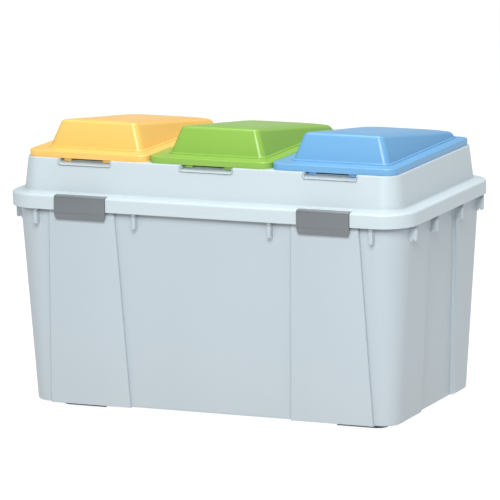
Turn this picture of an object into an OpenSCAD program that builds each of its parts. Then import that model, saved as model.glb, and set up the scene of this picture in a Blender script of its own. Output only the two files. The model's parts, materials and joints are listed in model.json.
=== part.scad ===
// Recycling bin station: one drafted tub under one lift-off cover with three hinged lids.
// +X runs along the row of lids, the front faces -Y and Z = 0 is the floor that the feet stand on.
// The origin is on the floor, under the centre of the station.

/* [Overall size] */
// Width of the station across the cover's skirt
cover_w = 780; // [760:1:960]
// Depth of the station across the cover's skirt
cover_d = 455; // [420:1:560]
// Plan radius of the skirt's corners
corner_r = 62; // [56:1:66]
// Height of the tub, from its underside to its rim
tub_h = 376; // [300:1:480]
// Height of the cover's drafted wall, from the shelf to the deck
dome_h = 60; // [50:1:80]

/* [Tub] */
// Wall thickness of the tub
tub_wall = 3; // [2.5:0.1:4]
// Thickness of the tub's floor
floor_t = 4; // [3:0.5:6]
// How far the tub's wall stands inside the skirt's face, at the skirt's lower edge
tub_inset = 12.3; // [11.5:0.1:13]
// How far each wall leans in between the skirt's lower edge and the underside
tub_draft = 24.6; // [15:0.1:30]
// Plan radius of the tub's corners at the skirt's lower edge
tub_corner_r = 57; // [50:1:62]
// Thickness of the tub's rim flange
flange_t = 4; // [3:0.5:5]
// How far the front and rear panels stand proud of the wall
panel_proud = 6; // [4:0.5:6]
// How much wider than the latch the panel is on each side, at its top
panel_margin = 14.6; // [10:0.1:16]
// How much further out each side of the panel is at the underside
panel_flare = 15.1; // [8:0.1:18]
// Depth of the side recess at the rim
recess_top_depth = 5.5; // [4:0.5:7]
// Depth of the side recess at the underside
recess_bottom_depth = 9; // [6:0.5:11]
// How far the side recess reaches forward of the centre at the rim
recess_top_front = 75; // [60:1:90]
// How far the side recess reaches forward of the centre at the underside
recess_bottom_front = 62; // [50:1:90]
// How far the side recess reaches back from the centre at the rim
recess_top_back = 56; // [40:1:60]
// How far the side recess reaches back from the centre at the underside
recess_bottom_back = 106; // [60:1:115]
// Thickness of the gusset ribs under the rim
rib_t = 7; // [5:0.5:9]
// Length of the gusset ribs below the skirt
rib_drop = 30; // [20:1:45]
// Width of the inner ledge that the bag rings lie on
ledge_w = 6; // [5:0.5:8]

/* [Cover] */
// Wall thickness of the cover
cover_wall = 3; // [2.5:0.1:3.8]
// How far the skirt hangs down below the tub's rim
skirt_lap = 15; // [12:0.5:20]
// Height of the seat rib between the tub's rim and the underside of the shelf
seat_h = 6.4; // [6:0.1:8]
// Rise of the shelf from its rounded edge to the foot of the drafted wall
shelf_rise = 3.6; // [2:0.1:6]
// How far the foot of the drafted wall stands inside the skirt's face
dome_foot_inset = 23; // [20:0.5:26]
// How far the top of the drafted wall stands inside the skirt's face
dome_top_inset = 30.5; // [28:0.5:34]
// Clearance between the tub's rim and the inside of the skirt
rim_gap = 2; // [1:0.1:3]

/* [Lids] */
// Width of the deck's edge left clear at each end of the row of lids
deck_side_edge = 4; // [2:0.5:8]
// Width of the deck's edge left clear in front of and behind the lids
deck_front_edge = 7; // [6:0.5:10]
// Gap between neighbouring lids
lid_gap = 1.5; // [1:0.1:3]
// Wall thickness of the lids
lid_wall = 2.5; // [2:0.1:3]
// Height of a lid's flange
lid_flange_h = 12; // [11:0.5:14]
// Plan radius of a lid's corners
lid_corner_r = 21; // [15:1:25]
// Height of the hump's front edge above the flange
hump_front_h = 51; // [35:1:62]
// Height of the hump's back edge above the flange
hump_back_h = 10; // [8:0.5:20]
// Flange width on each side of the hump
hump_side_margin = 26; // [20:1:32]
// Flange width in front of the hump
hump_front_margin = 40; // [34:1:50]
// Flange width behind the hump
hump_back_margin = 6; // [6:1:56]
// How far the hump's front face leans back
hump_front_lean = 12; // [8:1:20]
// How far the hump's sides lean in at the front
hump_side_lean = 18; // [10:1:24]
// Width from a lid's edge to the mouth under it, at the sides
mouth_side_margin = 14; // [12:0.5:20]
// Width from a lid's edge to the mouth under it, at the front and back
mouth_front_margin = 22; // [20:0.5:30]
// Clearance all round between a lid's plug rim and its mouth
plug_gap = 1.5; // [1:0.1:3]
// Depth that the plug rim reaches below the deck's top
plug_drop = 6; // [4:0.5:9]
// Width of the finger slot under each lid
slot_w = 100; // [80:1:120]
// Height of the finger slot
slot_h = 10; // [9:0.5:13]
// Width of the two finger tabs that hang from a lid
tab_w = 15; // [10:0.5:20]
// Distance of each finger tab from the lid's centre line
tab_x = 38; // [30:1:40]

/* [Hinges and latches] */
// Radius of the lid hinge pins
hinge_pin_r = 2; // [1.5:0.1:2.4]
// Width of a lid's hinge knuckle
knuckle_w = 20; // [15:1:30]
// Distance of each hinge from the lid's centre line
hinge_x = 70; // [50:1:80]
// Width of the four latches
latch_w = 98; // [80:1:118]
// Wall thickness of a latch
latch_t = 3; // [2.5:0.1:3.5]
// How far a latch stands inside the centre line of its lid
latch_shift = 2.5; // [0:0.5:6]
// Radius of the latch pins
latch_pin_r = 1.75; // [1.5:0.05:2]
// Running clearance of each pin in its moving piece, on the radius
pin_gap = 0.06; // [0.03:0.01:0.1]
// Side clearance of knuckles and latches
side_gap = 0.75; // [0.5:0.05:1.5]

/* [Inside] */
// Thickness of the two dividers
divider_t = 3; // [2.5:0.1:4]
// Clearance between a divider and its guides
divider_gap = 0.75; // [0.5:0.05:1.5]
// Diameter of the bag rings' rod
ring_d = 5; // [4:0.5:6]

/* [Feet] */
// Height of the feet
foot_h = 13; // [8:0.5:20]
// Width of a foot
foot_w = 91; // [60:1:100]
// Depth of a foot
foot_d = 55; // [40:1:70]
// How far a foot stands in from the side of the tub's underside
foot_side_inset = 36; // [30:1:50]
// How far a foot stands in from the front of the tub's underside
foot_front_inset = 40.6; // [34:0.1:60]

/* [Hidden] */
$fn = 64;
hull_fn = 32;
eps = 0.01;

// Heights
floor_z = foot_h + floor_t;
rim_z = foot_h + tub_h;
flange_z = rim_z - flange_t;
skirt_z = rim_z - skirt_lap;
shelf_under_z = rim_z + seat_h;
shelf_edge_z = shelf_under_z + cover_wall;
dome_foot_z = shelf_edge_z + shelf_rise;
deck_z = dome_foot_z + dome_h;
lid_top_z = deck_z + lid_flange_h;
ledge_z = flange_z - 5;

// Plan of the cover
half_w = cover_w / 2;
half_d = cover_d / 2;
skirt_round = 4;
dome_corner_r = corner_r - dome_top_inset;

// Plan of the tub: how far the wall stands inside the skirt's face at height z
function wall_inset(z) = tub_inset + tub_draft * (skirt_z - z) / (skirt_z - foot_h);
tub_cx = half_w - tub_inset - tub_corner_r;
tub_cy = half_d - tub_inset - tub_corner_r;
function tub_r(z) = tub_corner_r + tub_inset - wall_inset(z);
flange_inset = cover_wall + rim_gap;
flange_corner_r = corner_r - flange_inset;

// Row of lids
row_w = cover_w - 2 * dome_top_inset - 2 * deck_side_edge;
lid_w = (row_w - 2 * lid_gap) / 3;
lid_d = cover_d - 2 * dome_top_inset - 2 * deck_front_edge;
lid_pitch = lid_w + lid_gap;
lid_x = [-lid_pitch, 0, lid_pitch];
mouth_w = lid_w - 2 * mouth_side_margin;
mouth_d = lid_d - 2 * mouth_front_margin;
mouth_corner_r = 15;

// Lid hinges, behind the lids' flanges
knuckle_r = hinge_pin_r + 3;
ear_t = 5;
hinge_y = lid_d / 2 + knuckle_r + 1;
hinge_z = deck_z + knuckle_r + 1;

// Finger slots
tab_back = 4;
tab_t = 3;
tab_drop = 7;
slot_depth = deck_front_edge + tab_back + tab_t + 2;
slot_wall = 2.5;
slot_round = 4;
slot_sill = 3.5;

// Latches and their pins
latch_x = lid_pitch - latch_shift;
latch_face = 1.5;
latch_axis_u = half_d - 6;
latch_axis_z = rim_z + 5.3;
latch_knee_z = skirt_z - 4;
latch_tail_z = skirt_z - 17.5;
latch_crown_r = 7;
latch_barrel_r = 4;
cheek_t = 4;
notch_half = latch_w / 2 + side_gap;
notch_u = latch_axis_u - latch_crown_r - 1;
cheek_z = rim_z + 0.5;

// Gusset ribs along the front and the sides
rib_x = [tub_cx + 3.3, latch_x - latch_w / 2 - 54];
rib_y = [tub_cy + 6.8, 63];
rib_z = skirt_z - rib_drop;

// Dividers and bag rings
divider_x = lid_pitch / 2;
guide_t = 2.5;
guide_deep = 7;
cap_w = 12;
cap_t = 3;
ring_r = ring_d / 2;
ring_bend = 45;

// Plan of the feet
foot_x = half_w - wall_inset(foot_h) - foot_side_inset;
foot_y = half_d - wall_inset(foot_h) - foot_front_inset;
foot_round = 20;
peg_r = 5;

// Flat rounded rectangle, centred
module rounded_plan(w, d, r) {
    square([w - 2 * r, d], center = true);
    square([w, d - 2 * r], center = true);
    for (sx = [-1, 1], sy = [-1, 1])
        translate([sx * (w / 2 - r), sy * (d / 2 - r)]) circle(r);
}

// Plate with rounded corners, from z0 to z1
module rounded_plate(w, d, r, z0, z1) {
    translate([0, 0, z0]) linear_extrude(z1 - z0) rounded_plan(w, d, r);
}

// Rounded box whose four corner posts are turned from one outline of [radius, height]
module posted_box(cx, cy, outline) {
    hull()
        for (sx = [-1, 1], sy = [-1, 1])
            translate([sx * cx, sy * cy, 0]) rotate_extrude($fn = hull_fn) polygon(outline);
}

// Outline in the plane of outward distance and height, drawn out along the front wall from x0 to x1
module front_bar(x0, x1, outline) {
    translate([x0, 0, 0]) rotate([90, 0, 90]) linear_extrude(x1 - x0)
        mirror([1, 0]) polygon(outline);
}

// The same at the right side, drawn out along Y
module side_bar(y0, y1, outline) {
    translate([0, y1, 0]) rotate([90, 0, 0]) linear_extrude(y1 - y0) polygon(outline);
}

module both_x() {
    children();
    mirror([1, 0, 0]) children();
}

module both_y() {
    children();
    mirror([0, 1, 0]) children();
}

// Raised panel under the left and right latches; shrink makes the hollow behind its wall
module latch_panel(shrink) {
    half_top = latch_w / 2 + panel_margin - shrink;
    half_bottom = half_top + panel_flare;
    base = foot_h + (shrink > 0 ? floor_t : 0);
    face = panel_proud - shrink;
    intersection() {
        translate([latch_x, 0, 0]) rotate([90, 0, 0]) linear_extrude(half_d)
            polygon([[-half_bottom, base], [half_bottom, base], [half_top, flange_z + 1], [-half_top, flange_z + 1]]);
        front_bar(latch_x - half_bottom, latch_x + half_bottom, [
            [tub_cy, base],
            [half_d - wall_inset(base) + face, base],
            [half_d - wall_inset(flange_z + 1) + face, flange_z + 1],
            [tub_cy, flange_z + 1]
        ]);
    }
}

// Space outside the recessed middle of a side wall; grow keeps the wall's thickness on the inside
module side_recess(grow) {
    top_x = half_w - wall_inset(flange_z) - recess_top_depth - grow;
    bottom_x = half_w - wall_inset(foot_h) - recess_bottom_depth - grow;
    low = foot_h - 1;
    intersection() {
        rotate([90, 0, 90]) linear_extrude(half_w) polygon([
            [-recess_bottom_front - grow, low],
            [recess_bottom_back + grow, low],
            [recess_top_back + grow, flange_z],
            [-recess_top_front - grow, flange_z]
        ]);
        side_bar(-half_d, half_d, [[bottom_x, low], [half_w, low], [half_w, flange_z], [top_x, flange_z]]);
    }
}

// Gusset between the wall and the rim; below the skirt it comes out almost to the skirt's face
function rib_outline(half) = [
    [half - wall_inset(rib_z) - tub_wall / 2, rib_z],
    [half - wall_inset(rib_z) + 5, rib_z],
    [half - 1.5, rib_z + 6],
    [half - 1, skirt_z - 0.6],
    [half - flange_inset, skirt_z - 0.6],
    [half - flange_inset, flange_z + 1],
    [half - wall_inset(flange_z) - tub_wall / 2, flange_z + 1]
];

// Guide rib for a divider, up the inside of the front wall
guide_top_z = ledge_z - 4;
guide_outline = [
    [half_d - wall_inset(floor_z) - tub_wall / 2, floor_z - 1],
    [half_d - wall_inset(guide_top_z) - tub_wall / 2, guide_top_z],
    [half_d - wall_inset(guide_top_z) - tub_wall - guide_deep, guide_top_z],
    [half_d - wall_inset(floor_z) - tub_wall - guide_deep, floor_z - 1]
];

// Middles of a foot's two pegs
peg_spots = [for (k = [0.25, 0.75]) [foot_x - foot_w * k, foot_y - foot_d / 2]];

module tub_shell(z0, z1, shrink) {
    posted_box(tub_cx, tub_cy, [[0, z0], [tub_r(z0) - shrink, z0], [tub_r(z1) - shrink, z1], [0, z1]]);
}

module tub() {
    color("lightsteelblue") {
        difference() {
            union() {
                difference() {
                    tub_shell(foot_h, rim_z, 0);
                    both_x() side_recess(0);
                }
                both_x() both_y() latch_panel(0);
                rounded_plate(cover_w - 2 * flange_inset, cover_d - 2 * flange_inset, flange_corner_r, flange_z, rim_z);
            }
            difference() {
                union() {
                    tub_shell(floor_z, rim_z + 1, tub_wall);
                    both_x() both_y() latch_panel(tub_wall);
                }
                both_x() side_recess(tub_wall);
            }
            both_x() both_y() for (p = peg_spots)
                translate([p[0], p[1], foot_h - 1]) cylinder(h = floor_t + 2, r = peg_r);
        }
        both_x() both_y() for (x = rib_x)
            front_bar(x - rib_t / 2, x + rib_t / 2, rib_outline(half_d));
        both_x() both_y() for (y = rib_y)
            side_bar(y - rib_t / 2, y + rib_t / 2, rib_outline(half_w));
        both_x() both_y() for (s = [-1, 1]) {
            x = divider_x + s * (divider_t / 2 + divider_gap + guide_t / 2);
            front_bar(x - guide_t / 2, x + guide_t / 2, guide_outline);
        }
        bag_ledge();
    }
}

// Ledge around the inside of the tub, wider at the sides to pass their recesses and cut where a divider slides down
module bag_ledge() {
    reach = wall_inset(ledge_z) + tub_wall;
    side_reach = reach + recess_top_depth + ledge_w;
    difference() {
        rounded_plate(cover_w - 2 * (reach - 1), cover_d - 2 * (reach - 1), tub_corner_r - tub_wall, ledge_z - 3, ledge_z);
        rounded_plate(cover_w - 2 * side_reach, cover_d - 2 * (reach + ledge_w),
            tub_corner_r - tub_wall - ledge_w, ledge_z - 4, ledge_z + 1);
        both_x() side_recess(tub_wall / 2);
        for (s = [-1, 1])
            translate([s * divider_x - divider_t / 2 - divider_gap, -half_d + reach, ledge_z - 4])
                cube([divider_t + 2 * divider_gap, cover_d - 2 * reach, 5]);
    }
}

// Ear that carries one end of a lid hinge pin, drawn on the deck's rear edge
module hinge_ear(x) {
    translate([x - ear_t / 2, 0, 0]) rotate([90, 0, 90]) linear_extrude(ear_t) {
        translate([hinge_y, hinge_z]) circle(knuckle_r);
        polygon([
            [hinge_y - knuckle_r, hinge_z],
            [hinge_y - knuckle_r, deck_z - 2],
            [hinge_y - knuckle_r + 2, deck_z - 14],
            [hinge_y + knuckle_r, deck_z - 8],
            [hinge_y + knuckle_r, hinge_z]
        ]);
    }
}

// Places of the two ears beside each knuckle, from a lid's centre line
ear_x = [for (s = [-1, 1], t = [-1, 1]) s * hinge_x + t * (knuckle_w / 2 + side_gap + ear_t / 2)];

// Front opening of a finger slot, grown all round by extra and left open at the deck
module slot_plan(extra) {
    w = slot_w + 2 * extra;
    low = deck_z - slot_h - extra;
    translate([-w / 2, low + slot_round]) square([w, slot_h + extra - slot_round + 1]);
    translate([-w / 2 + slot_round, low]) square([w - 2 * slot_round, slot_round + 1]);
    for (s = [-1, 1])
        translate([s * (w / 2 - slot_round), low + slot_round]) circle(slot_round);
}

module slot_block(extra, depth) {
    front = half_d - dome_foot_inset;
    rotate([90, 0, 0]) translate([0, 0, front - depth]) linear_extrude(depth) slot_plan(extra);
}

// Depth of a slot measured from the foot of the drafted wall, which stands furthest out
slot_run = slot_depth + dome_top_inset - dome_foot_inset;

module cover() {
    color("lightcyan") {
        difference() {
            union() {
                difference() {
                    union() {
                        cover_base_solid();
                        cover_dome_solid(0);
                    }
                    rounded_plate(cover_w - 2 * cover_wall, cover_d - 2 * cover_wall, corner_r - cover_wall,
                        skirt_z - 1, shelf_under_z);
                    cover_dome_solid(cover_wall);
                }
                seat_rib();
                both_x() both_y() latch_cheeks();
                intersection() {
                    cover_dome_solid(0);
                    for (x = lid_x) translate([x, 0, 0]) slot_block(slot_wall, slot_run + slot_wall);
                }
                for (x = lid_x, e = ear_x) hinge_ear(x + e);
            }
            for (x = lid_x) translate([x, 0, 0]) {
                rounded_plate(mouth_w, mouth_d, mouth_corner_r, deck_z - cover_wall - slot_h - 5, deck_z + 1);
                slot_block(0, slot_run);
                translate([-slot_w / 2, -half_d + dome_top_inset + slot_depth - 1, deck_z - slot_sill])
                    cube([slot_w, half_d - dome_top_inset - slot_depth - mouth_d / 2 + 3, slot_sill + 1]);
            }
            both_x() both_y() latch_notch();
            both_x() both_y() latch_bore(latch_pin_r);
            for (x = lid_x) translate([x, 0, 0]) hinge_bores(hinge_pin_r, 2 * ear_t);
        }
    }
}

module cover_base_solid() {
    posted_box(half_w - corner_r, half_d - corner_r, [
        [0, skirt_z],
        [corner_r, skirt_z],
        [corner_r, shelf_edge_z - skirt_round],
        [corner_r - skirt_round * 0.3, shelf_edge_z - skirt_round * 0.3],
        [corner_r - skirt_round, shelf_edge_z],
        [corner_r - dome_foot_inset, dome_foot_z],
        [0, dome_foot_z]
    ]);
}

// Drafted wall and deck; shrink makes the hollow inside, open towards the tub
module cover_dome_solid(shrink) {
    low = shrink > 0 ? shelf_under_z - 1 : dome_foot_z - 2;
    edge = shrink > 0 ? eps : 1.5;
    lean = (dome_top_inset - dome_foot_inset) / dome_h;
    top = deck_z - shrink;
    foot_r = dome_corner_r - shrink + lean * (deck_z - low);
    top_r = dome_corner_r - shrink;
    posted_box(half_w - corner_r, half_d - corner_r, [
        [0, low],
        [foot_r, low],
        [top_r + lean * (shrink + edge), top - edge],
        [top_r - edge, top],
        [0, top]
    ]);
}

// Rib under the shelf that stands on the tub's rim
module seat_rib() {
    outer = 10;
    inner = outer + cover_wall;
    difference() {
        rounded_plate(cover_w - 2 * outer, cover_d - 2 * outer, corner_r - outer, rim_z, shelf_under_z + 1);
        rounded_plate(cover_w - 2 * inner, cover_d - 2 * inner, corner_r - inner, rim_z - 1, shelf_under_z + 2);
    }
}

// Walls of the pocket that a latch turns in
module latch_cheeks() {
    half = notch_half + cheek_t;
    back = 2.5;
    front_bar(latch_x - half, latch_x + half, [
        [notch_u - back, cheek_z],
        [notch_u, cheek_z],
        [notch_u, shelf_edge_z],
        [notch_u - back, shelf_edge_z]
    ]);
    for (s = [-1, 1])
        front_bar(latch_x + s * (notch_half + cheek_t / 2) - cheek_t / 2, latch_x + s * (notch_half + cheek_t / 2) + cheek_t / 2, [
            [notch_u - 1, cheek_z],
            [half_d - cover_wall / 2, cheek_z],
            [half_d - cover_wall / 2, shelf_under_z + 1],
            [notch_u - 1, shelf_under_z + 1]
        ]);
}

module latch_notch() {
    translate([latch_x - notch_half, -half_d - 1, skirt_z - 1])
        cube([2 * notch_half, half_d + 1 - notch_u, dome_foot_z - skirt_z + 2]);
}

module latch_bore(r) {
    translate([latch_x, -latch_axis_u, latch_axis_z]) rotate([0, 90, 0])
        cylinder(h = 2 * (notch_half + cheek_t) + 2, r = r, center = true);
}

// Bores of one lid's two hinges, each longer than its knuckle by extra
module hinge_bores(r, extra) {
    for (s = [-1, 1])
        translate([s * hinge_x, hinge_y, hinge_z]) rotate([0, 90, 0])
            cylinder(h = knuckle_w + 2 * side_gap + extra + 2, r = r, center = true);
}

module lid() {
    difference() {
        union() {
            difference() {
                union() {
                    lid_flange();
                    hump(0);
                }
                rounded_plate(lid_w - 2 * lid_wall, lid_d - 2 * lid_wall, lid_corner_r - lid_wall,
                    deck_z - 1, lid_top_z - lid_wall);
                hump(lid_wall);
            }
            plug_rim();
            for (s = [-1, 1]) {
                translate([s * tab_x - tab_w / 2, -lid_d / 2 + tab_back, deck_z - tab_drop])
                    cube([tab_w, tab_t, lid_flange_h + tab_drop - 1]);
                hinge_knuckle(s * hinge_x);
            }
        }
        hinge_bores(hinge_pin_r + pin_gap, 0);
    }
}

module lid_flange() {
    edge = 2;
    posted_box(lid_w / 2 - lid_corner_r, lid_d / 2 - lid_corner_r, [
        [0, deck_z],
        [lid_corner_r, deck_z],
        [lid_corner_r, lid_top_z - edge],
        [lid_corner_r - edge * 0.3, lid_top_z - edge * 0.3],
        [lid_corner_r - edge, lid_top_z],
        [0, lid_top_z]
    ]);
}

// Wedge hump of a lid, high at the front; shrink makes the hollow under it
module hump(shrink) {
    edge = 6 - shrink;
    base_r = 14 - shrink;
    base_x = lid_w / 2 - hump_side_margin - shrink - base_r;
    base_front = -lid_d / 2 + hump_front_margin + shrink + base_r;
    base_back = lid_d / 2 - hump_back_margin - shrink - base_r;
    base_z = lid_top_z - (shrink > 0 ? lid_wall + eps : 1);
    front_x = lid_w / 2 - hump_side_margin - hump_side_lean - shrink - edge;
    back_x = lid_w / 2 - hump_side_margin - 3 - shrink - edge;
    front_y = -lid_d / 2 + hump_front_margin + hump_front_lean + shrink + edge;
    back_y = lid_d / 2 - hump_back_margin - 3 - shrink - edge;
    hull()
        for (s = [-1, 1]) {
            for (y = [base_front, base_back])
                translate([s * base_x, y, base_z]) cylinder(h = 1, r = base_r, $fn = hull_fn);
            translate([s * front_x, front_y, lid_top_z + hump_front_h - shrink - edge]) sphere(edge, $fn = hull_fn);
            translate([s * back_x, back_y, lid_top_z + hump_back_h - shrink - edge]) sphere(edge, $fn = hull_fn);
        }
}

// Rim under a lid that drops into its mouth
module plug_rim() {
    w = mouth_w - 2 * plug_gap;
    d = mouth_d - 2 * plug_gap;
    r = mouth_corner_r - plug_gap;
    difference() {
        rounded_plate(w, d, r, deck_z - plug_drop, lid_top_z - lid_wall / 2);
        rounded_plate(w - 2 * lid_wall, d - 2 * lid_wall, r - lid_wall, deck_z - plug_drop - 1, lid_top_z);
    }
}

module hinge_knuckle(x) {
    translate([x, hinge_y, hinge_z]) rotate([0, 90, 0]) cylinder(h = knuckle_w, r = knuckle_r, center = true);
    translate([x - knuckle_w / 2, lid_d / 2 - lid_wall / 2, hinge_z - 2])
        cube([knuckle_w, hinge_y - lid_d / 2 + lid_wall / 2, knuckle_r + 2]);
}

module hinge_pins() {
    for (s = [-1, 1])
        translate([s * hinge_x, hinge_y, hinge_z]) rotate([0, 90, 0])
            cylinder(h = knuckle_w + 2 * side_gap + 2 * ear_t, r = hinge_pin_r, center = true);
}

// Latch of the front right corner: crown over the pin, face down over the rim, tail under it
module latch() {
    face = half_d + latch_face;
    tail = face - 3.8;
    difference() {
        union() {
            front_bar(latch_x - latch_w / 2, latch_x + latch_w / 2, [
                [face - latch_t, latch_axis_z],
                [face, latch_axis_z],
                [face, latch_knee_z],
                [tail, latch_tail_z],
                [half_d - flange_inset + 0.6, latch_tail_z + 1],
                [face - latch_t, latch_knee_z + 2]
            ]);
            front_bar(latch_x - latch_w / 2 + 4, latch_x + latch_w / 2 - 4, [
                [face - latch_t + 1, flange_z - 0.7],
                [half_d - flange_inset + 0.6, flange_z - 1.2],
                [face - latch_t + 1, flange_z - 7]
            ]);
            translate([latch_x, -latch_axis_u, latch_axis_z]) rotate([0, 90, 0])
                cylinder(h = latch_w, r = latch_barrel_r, center = true);
            latch_crown();
        }
        latch_bore(latch_pin_r + pin_gap);
    }
}

// Quarter of a thick round bar over the pin, from the face to the top
module latch_crown() {
    crown_out = half_d + latch_face - latch_axis_u;
    intersection() {
        translate([latch_x, -latch_axis_u, latch_axis_z]) rotate([0, 90, 0])
            cylinder(h = latch_w, r = latch_crown_r, center = true);
        translate([latch_x - latch_w / 2, -latch_axis_u - latch_crown_r - 1, latch_axis_z])
            cube([latch_w, latch_crown_r, latch_crown_r + 1]);
    }
    front_bar(latch_x - latch_w / 2, latch_x + latch_w / 2, [
        [latch_axis_u, latch_axis_z],
        [latch_axis_u + crown_out, latch_axis_z],
        [latch_axis_u + crown_out, latch_axis_z + 1],
        [latch_axis_u + crown_out - 2, latch_axis_z + 4],
        [latch_axis_u + 2, latch_axis_z + 4]
    ]);
}

module latch_pin() {
    translate([latch_x, -latch_axis_u, latch_axis_z]) rotate([0, 90, 0])
        cylinder(h = 2 * (notch_half + cheek_t), r = latch_pin_r, center = true);
}

// Panel that stands between two compartments, with a cap that carries the bag rings
module divider() {
    low = floor_z + 0.5;
    inner_low = half_d - wall_inset(low) - tub_wall - 1.5;
    inner_top = half_d - wall_inset(ledge_z) - tub_wall - 1.5;
    cap_half = half_d - wall_inset(ledge_z) - tub_wall - ledge_w - 1;
    translate([-divider_t / 2, 0, 0]) rotate([90, 0, 90]) linear_extrude(divider_t)
        polygon([[-inner_low, low], [inner_low, low], [inner_top, ledge_z], [-inner_top, ledge_z]]);
    translate([-cap_w / 2, -cap_half, ledge_z - cap_t]) cube([cap_w, 2 * cap_half, cap_t]);
}

// Hoop of round rod, w by d between the rod's centre lines
module hoop(w, d) {
    rod_x = w / 2 - ring_bend;
    rod_y = d / 2 - ring_bend;
    for (s = [-1, 1]) {
        translate([0, s * d / 2, 0]) rotate([0, 90, 0]) cylinder(h = 2 * rod_x, r = ring_r, center = true);
        translate([s * w / 2, 0, 0]) rotate([90, 0, 0]) cylinder(h = 2 * rod_y, r = ring_r, center = true);
    }
    for (k = [0:3])
        translate([(k == 0 || k == 3 ? 1 : -1) * rod_x, (k < 2 ? 1 : -1) * rod_y, 0]) rotate([0, 0, 90 * k])
            rotate_extrude(angle = 90) translate([ring_bend, 0]) circle(ring_r);
}

// Bag rings: each lies on the ledge and on the dividers' caps, and is bent to whole tenths of a millimetre
function tenths(v) = floor(v * 10) / 10;
ring_reach = wall_inset(ledge_z) + tub_wall + ring_r + 1;
ring_inner_x = tenths(divider_x + ring_r + 0.8);
ring_outer_x = tenths(half_w - ring_reach - recess_top_depth - 0.5);
ring_y = tenths(half_d - ring_reach);
middle_ring_x = tenths(divider_x - ring_r - 0.75);

module side_bag_ring() {
    translate([(ring_inner_x + ring_outer_x) / 2, 0, ledge_z + ring_r])
        hoop(ring_outer_x - ring_inner_x, 2 * ring_y);
}

module middle_bag_ring() {
    translate([0, 0, ledge_z + ring_r]) hoop(2 * middle_ring_x, 2 * ring_y);
}

// Foot of the rear right corner, with its outer corner rounded and two pegs through the floor
module foot() {
    linear_extrude(foot_h) {
        difference() {
            translate([foot_x - foot_w, foot_y - foot_d]) square([foot_w, foot_d]);
            translate([foot_x - foot_round, foot_y - foot_round]) square([foot_round + 1, foot_round + 1]);
        }
        translate([foot_x - foot_round, foot_y - foot_round]) circle(foot_round);
    }
    for (p = peg_spots)
        translate([p[0], p[1], foot_h - 1]) cylinder(h = floor_t + 1, r = peg_r);
}

module lid_orange() { color("orange") translate([lid_x[0], 0, 0]) lid(); }
module lid_green() { color("yellowgreen") translate([lid_x[1], 0, 0]) lid(); }
module lid_blue() { color("cornflowerblue") translate([lid_x[2], 0, 0]) lid(); }
module hinge_pins_orange() { color("silver") translate([lid_x[0], 0, 0]) hinge_pins(); }
module hinge_pins_green() { color("silver") translate([lid_x[1], 0, 0]) hinge_pins(); }
module hinge_pins_blue() { color("silver") translate([lid_x[2], 0, 0]) hinge_pins(); }
module latch_front_left() { color("slategray") mirror([1, 0, 0]) latch(); }
module latch_front_right() { color("slategray") latch(); }
module latch_rear_left() { color("slategray") mirror([1, 0, 0]) mirror([0, 1, 0]) latch(); }
module latch_rear_right() { color("slategray") mirror([0, 1, 0]) latch(); }
module latch_pin_front_left() { color("silver") mirror([1, 0, 0]) latch_pin(); }
module latch_pin_front_right() { color("silver") latch_pin(); }
module latch_pin_rear_left() { color("silver") mirror([1, 0, 0]) mirror([0, 1, 0]) latch_pin(); }
module latch_pin_rear_right() { color("silver") mirror([0, 1, 0]) latch_pin(); }
module divider_left() { color("whitesmoke") translate([-divider_x, 0, 0]) divider(); }
module divider_right() { color("whitesmoke") translate([divider_x, 0, 0]) divider(); }
module bag_ring_left() { color("gray") mirror([1, 0, 0]) side_bag_ring(); }
module bag_ring_middle() { color("gray") middle_bag_ring(); }
module bag_ring_right() { color("gray") side_bag_ring(); }
module foot_front_left() { color("black") mirror([1, 0, 0]) mirror([0, 1, 0]) foot(); }
module foot_front_right() { color("black") mirror([0, 1, 0]) foot(); }
module foot_rear_left() { color("black") mirror([1, 0, 0]) foot(); }
module foot_rear_right() { color("black") foot(); }

tub();
cover();
lid_orange();
lid_green();
lid_blue();
hinge_pins_orange();
hinge_pins_green();
hinge_pins_blue();
latch_front_left();
latch_front_right();
latch_rear_left();
latch_rear_right();
latch_pin_front_left();
latch_pin_front_right();
latch_pin_rear_left();
latch_pin_rear_right();
divider_left();
divider_right();
bag_ring_left();
bag_ring_middle();
bag_ring_right();
foot_front_left();
foot_front_right();
foot_rear_left();
foot_rear_right();
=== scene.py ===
"""Recycling bin station: the visible shells, finishes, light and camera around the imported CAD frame."""

import json
import math

import bmesh
import bpy
from bpy.props import FloatProperty, FloatVectorProperty, PointerProperty
from mathutils import Matrix, Vector

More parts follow.
